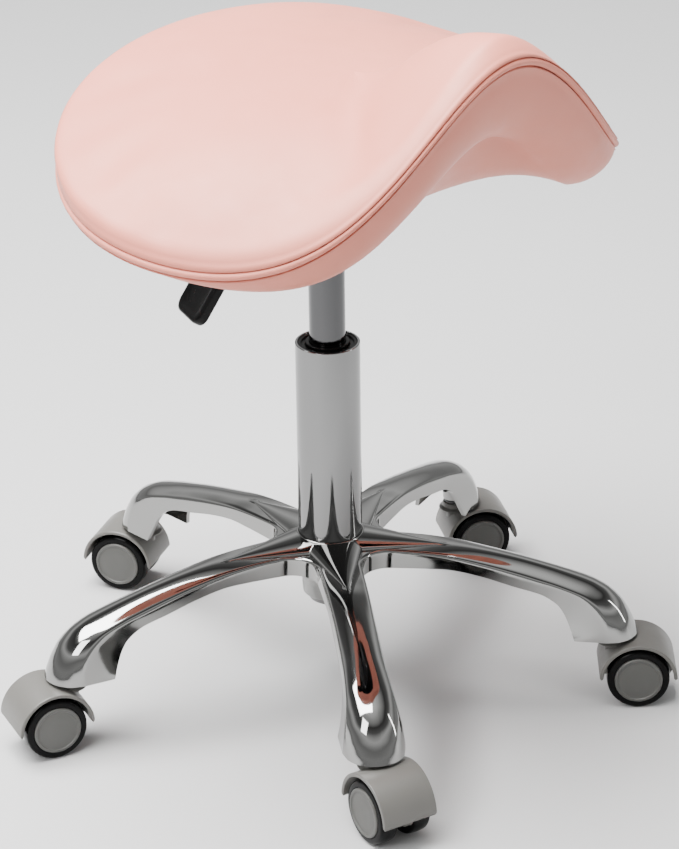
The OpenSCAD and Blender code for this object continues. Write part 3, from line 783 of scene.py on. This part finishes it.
def make_lever():
    """The bent rod, and the paddle with its sleeve moulded over the rod's end."""
    level = math.cos(LEVER_DROOP)
    run = Vector((-math.cos(LEVER_YAW) * level, math.sin(LEVER_YAW) * level, -math.sin(LEVER_DROOP)))
    corners = [(7, 0, LEVER_Z), (-72, 0, LEVER_Z), PADDLE_START - 14 * run, PADDLE_START + 20 * run]
    show("lever_rod_bent", tube_along("lever_rod_bent", bent_path(corners, 12), LEVER_R), BLACK_STEEL,
         "lever", ["lever_rod"])
    length, half_w, thick, corner = 60.0, 20.0, 8.0, 8.0
    outline = []
    for cx, cy, first in ((length - corner, half_w - corner, 0), (corner, half_w - corner, 90),
                          (corner, corner - half_w, 180), (length - corner, corner - half_w, 270)):
        for k in range(9):
            angle = math.radians(first + 90 * k / 8)
            outline.append((cx + corner * math.cos(angle), cy + corner * math.sin(angle)))

    def ring(scale_x, scale_y, z):
        """The outline at height z, scaled about the paddle's middle."""
        return [(length / 2 + (x - length / 2) * scale_x, y * scale_y, z) for x, y in outline]

    # Each level: how far in from the outline, and how far down from the face
    levels = [(2.4, 0), (1.2, 0.15), (0.5, 0.5), (0.1, 1.1), (0, 1.8)]
    rings = [ring(1 - i / 30, 1 - i / half_w, d - thick / 2) for i, d in levels]
    rings += [ring(1 - i / 30, 1 - i / half_w, thick / 2 - d) for i, d in reversed(levels)]
    # A shallow thumb rest sunk in the top face
    rings += [ring(1 - i / 30, 1 - i / half_w, thick / 2 - d)
              for i, d in ((4.5, 0.1), (5.6, 0.5), (7.5, 0.8), (12, 0.9))]
    points = [p for row in rings for p in row]
    faces = grid_faces(len(rings), len(outline), wrap_columns=True)
    last = (len(rings) - 1) * len(outline)
    faces += [tuple(range(len(outline))), tuple(last + i for i in range(len(outline)))]
    slab = mesh_from("slab", points, faces)
    sleeve = revolve("sleeve", rounded([(0, -10), (6.5, -10, 1), (6.5, 22, 3), (0, 26)], 1, 5), 40)
    place(sleeve, Matrix.Rotation(math.pi / 2, 4, "Y"))
    paddle = joined("lever_paddle_moulded", [slab, sleeve])
    turn = Matrix.Rotation(math.pi - LEVER_YAW, 4, "Z") @ Matrix.Rotation(LEVER_DROOP, 4, "Y")
    place(paddle, Matrix.Translation(PADDLE_START * MM) @ turn)
    show("lever_paddle_moulded", paddle, BLACK_PLASTIC, "lever", ["lever_paddle"])


make_lever()


# ---------------------------------------------------------------- casters

# Headings of the five casters in degrees, measured from the direction of their legs
TURNS = [23, 9, -50, 27, -1]
TRAIL = 18.9
WHEEL_R = 25.0
CAP_R = 18.8


def caster_matrix(k):
    """From a caster made with its stem on Z and trailing along +X to its place under leg k."""
    return (leg_matrix(k) @ Matrix.Translation((STEM_R * MM, 0, 0))
            @ Matrix.Rotation(math.radians(TURNS[k - 1]), 4, "Z"))


def axle_matrix(side=1):
    """From a piece turned about Z to one turned about the axle; side is +1 for the left wheel."""
    return (Matrix.Translation((TRAIL * MM, 0, WHEEL_R * MM))
            @ Matrix.Rotation(math.radians(-90 * side), 4, "X"))


def hood_mesh():
    """The half-round hood: a shell with rounded rims. The web between the wheels is made by web_mesh."""
    shell = rounded([(29.0, -22.5), (30.5, -22.5, 1.3), (30.5, 22.5, 1.3), (27.5, 22.5, 1.3),
                     (27.5, -22.5, 1.3), (29.0, -22.5)], 1.3, 5)[:-1]
    rows = []
    steps = 64
    for i in range(steps + 1):
        ang = math.pi * i / steps
        # Both tips are rounded off over their last few degrees
        edge = min(i, steps - i) / 2.0
        pinch = math.sqrt(max(0.0, 1 - (1 - min(edge, 1.0)) ** 2))
        row = []
        for r, y in shell:
            rr = 29.0 + (r - 29.0) * (0.25 + 0.75 * pinch)
            yy = y * (0.965 + 0.035 * pinch)
            row.append((TRAIL + rr * math.cos(ang), yy, WHEEL_R + rr * math.sin(ang)))
        rows.append(row)
    points = [p for row in rows for p in row]
    width = len(shell)
    faces = grid_faces(len(rows), width, wrap_columns=True)
    faces += [tuple(range(width)), tuple((len(rows) - 1) * width + i for i in range(width))]
    return mesh_from("hood", points, faces)


def web_mesh():
    """The plate between the wheels. make_caster adds the axle's boss and the stem's boss."""
    outline = [(TRAIL + 28 * math.cos(math.pi * i / 40), WHEEL_R + 28 * math.sin(math.pi * i / 40))
               for i in range(41)]
    outline += [(TRAIL - 26, WHEEL_R - 4), (TRAIL, WHEEL_R - 7.5), (TRAIL + 26, WHEEL_R - 4)]
    points = [(x, y, z) for y in (-3.5, 3.5) for x, z in outline]
    n = len(outline)
    faces = [tuple(range(n)), tuple(n + i for i in range(n))]
    faces += [(i, (i + 1) % n, n + (i + 1) % n, n + i) for i in range(n)]
    return mesh_from("hood_web", points, faces)


def make_caster(k):
    """The hood, the stem and both wheels with their caps, under leg k."""
    here = caster_matrix(k)
    cone = rounded([(0, 48), (14.5, 49.5), (11.0, 52.4, 2), (10, 56, 0.8), (0, 56)], 2, 5)
    boss = revolve("boss", cone, 48)
    post = revolve("post", [(0, 29), (7, 29), (7, 52), (0, 52)], 32)
    axle_boss = place(revolve("axle_boss", [(4.1, -7), (7.5, -7), (7.5, 7), (4.1, 7)], 32, closed=True),
                      axle_matrix())
    hood = joined(f"caster_hood_shell_{k}", [hood_mesh(), web_mesh(), boss, post, axle_boss])
    show(f"caster_hood_shell_{k}", place(hood, here), HOOD, f"caster_{k}", [f"caster_hood_{k}"])
    outline = rounded([(0, 47), (5.5, 47, 0.4), (5.5, 56, 0.2), (9.0, 56, 0.5), (9.0, 58.2, 0.5),
                       (5.5, 58.2, 0.2), (5.5, 70.7, 0.2), (4.5, 70.7, 0.2), (4.5, 73.8, 0.2),
                       (5.5, 73.8, 0.2), (5.5, 79, 0.4), (4, 80.5, 0.4), (0, 80.5)], 0.3, 3)
    stem = revolve("stem", outline, 48)
    show(f"caster_stem_turned_{k}", place(stem, here), BLACK_STEEL, f"caster_{k}",
         [f"caster_stem_{k}"])
    tread = rounded([(4.06, 19), (4.06, 7.4, 0.2), (12, 7.4), (24.2, 7.4, 1.6), (25, 14, 30),
                     (24.2, 21, 2.6), (CAP_R + 0.4, 21.4, 0.5), (CAP_R + 0.1, 19, 0.2), (4.06, 19)],
                    0.4, 6)
    cap = rounded([(0, 19.02), (CAP_R - 0.1, 19.02, 0.3), (CAP_R, 22.0, 0.6), (CAP_R - 0.8, 22.6, 0.5),
                   (CAP_R - 2.2, 22.6, 0.4), (CAP_R - 2.8, 21.9, 0.5), (CAP_R - 4.2, 21.8, 0.3),
                   (10, 22.15, 8), (0, 22.35)], 0.4, 5)
    for side, name in ((1, "left"), (-1, "right")):
        body = f"wheel_{name}_{k}"
        tyre = place(revolve("tyre", tread, 96), here @ axle_matrix(side))
        show(f"wheel_tyre_{name}_{k}", tyre, TYRE, body, [f"wheel_{name}_{k}"])
        disc = place(revolve("disc", cap, 96), here @ axle_matrix(side))
        show(f"wheel_disc_{name}_{k}", disc, CAP, body, [f"wheel_cap_{name}_{k}"])


for number in range(1, LEGS + 1):
    make_caster(number)


# ---------------------------------------------------------------- stage

def make_stage():
    """A plain pale floor."""
    mesh = bpy.data.meshes.new("floor")
    mesh.from_pydata([(-9, -9, 0), (9, -9, 0), (9, 9, 0), (-9, 9, 0)], [], [(0, 1, 2, 3)])
    floor = new_object("floor", mesh)
    mat, shader = new_material("floor_paint", (0.47, 0.47, 0.47), roughness=0.6, Specular_IOR_Level=0.2)
    vary(mat, shader, "Roughness", object_noise(mat, 3, 2), 0.55, 0.65)
    mesh.materials.append(mat)


def area_light(name, location, target, size, power):
    """A rectangular lamp that faces its target; power is in watts."""
    data = bpy.data.lights.new(name, "AREA")
    data.shape = "RECTANGLE"
    data.size, data.size_y = size
    data.energy = power
    light = bpy.data.objects.new(name, data)
    light.location = location
    light.rotation_euler = (Vector(target) - Vector(location)).to_track_quat("-Z", "Y").to_euler()
    bpy.context.scene.collection.objects.link(light)


# Brightness of the studio against height: 0.5 is the horizon and 1 is straight up
SKY = [(0.5, 0.24), (0.54, 0.3), (0.62, 0.2), (0.71, 0.55), (0.78, 0.12), (0.86, 0.05), (0.94, 0.4)]


def make_world():
    """A grey studio: dim round the horizon, a pale band above it, dark higher up, bright overhead."""
    world = bpy.data.worlds.new("studio")
    bpy.context.scene.world = world
    world.use_nodes = True
    tree = world.node_tree
    coords = tree.nodes.new("ShaderNodeTexCoord")
    split = tree.nodes.new("ShaderNodeSeparateXYZ")
    ramp = tree.nodes.new("ShaderNodeValToRGB")
    span = tree.nodes.new("ShaderNodeMapRange")
    span.inputs["From Min"].default_value = -1
    ramp.color_ramp.elements[0].position = 0.0
    ramp.color_ramp.elements[0].color = (0.24, 0.24, 0.24, 1)
    ramp.color_ramp.elements[1].position = 1.0
    ramp.color_ramp.elements[1].color = (0.9, 0.9, 0.9, 1)
    for position, value in SKY:
        element = ramp.color_ramp.elements.new(position)
        element.color = (value, value, value, 1)
    link = tree.links.new
    link(coords.outputs["Generated"], split.inputs["Vector"])
    link(split.outputs["Z"], span.inputs["Value"])
    link(span.outputs["Result"], ramp.inputs["Fac"])
    link(ramp.outputs["Color"], tree.nodes["Background"].inputs["Color"])
    tree.nodes["Background"].inputs["Strength"].default_value = 2.0


def make_camera():
    """The photograph's view, looking down from the front left."""
    data = bpy.data.cameras.new("camera")
    data.sensor_width = 36
    data.lens = 133.7
    camera = bpy.data.objects.new("camera", data)
    azimuth, elevation, distance = math.radians(-43.9), math.radians(25.07), 2.4339
    aim = Vector((0.00596, -0.00573, 0.2205))
    away = Vector((math.sin(azimuth) * math.cos(elevation), -math.cos(azimuth) * math.cos(elevation),
                   math.sin(elevation)))
    camera.location = aim + away * distance
    turn = (-away).to_track_quat("-Z", "Y").to_matrix().to_4x4()
    roll = Matrix.Rotation(math.radians(-0.806), 4, "Z")
    camera.matrix_world = Matrix.Translation(camera.location) @ turn @ roll
    bpy.context.scene.collection.objects.link(camera)
    bpy.context.scene.camera = camera


make_stage()
make_world()
make_camera()
area_light("overhead", (-0.5, 0.5, 2.5), (0, 0, 0.3), (2.0, 2.0), 340)
area_light("key_left", (-2.6, -0.5, 2.3), (0, 0, 0.4), (1.2, 1.6), 80)
area_light("strip_right", (1.9, -1.9, 1.0), (0, 0, 0.3), (0.12, 1.6), 14)
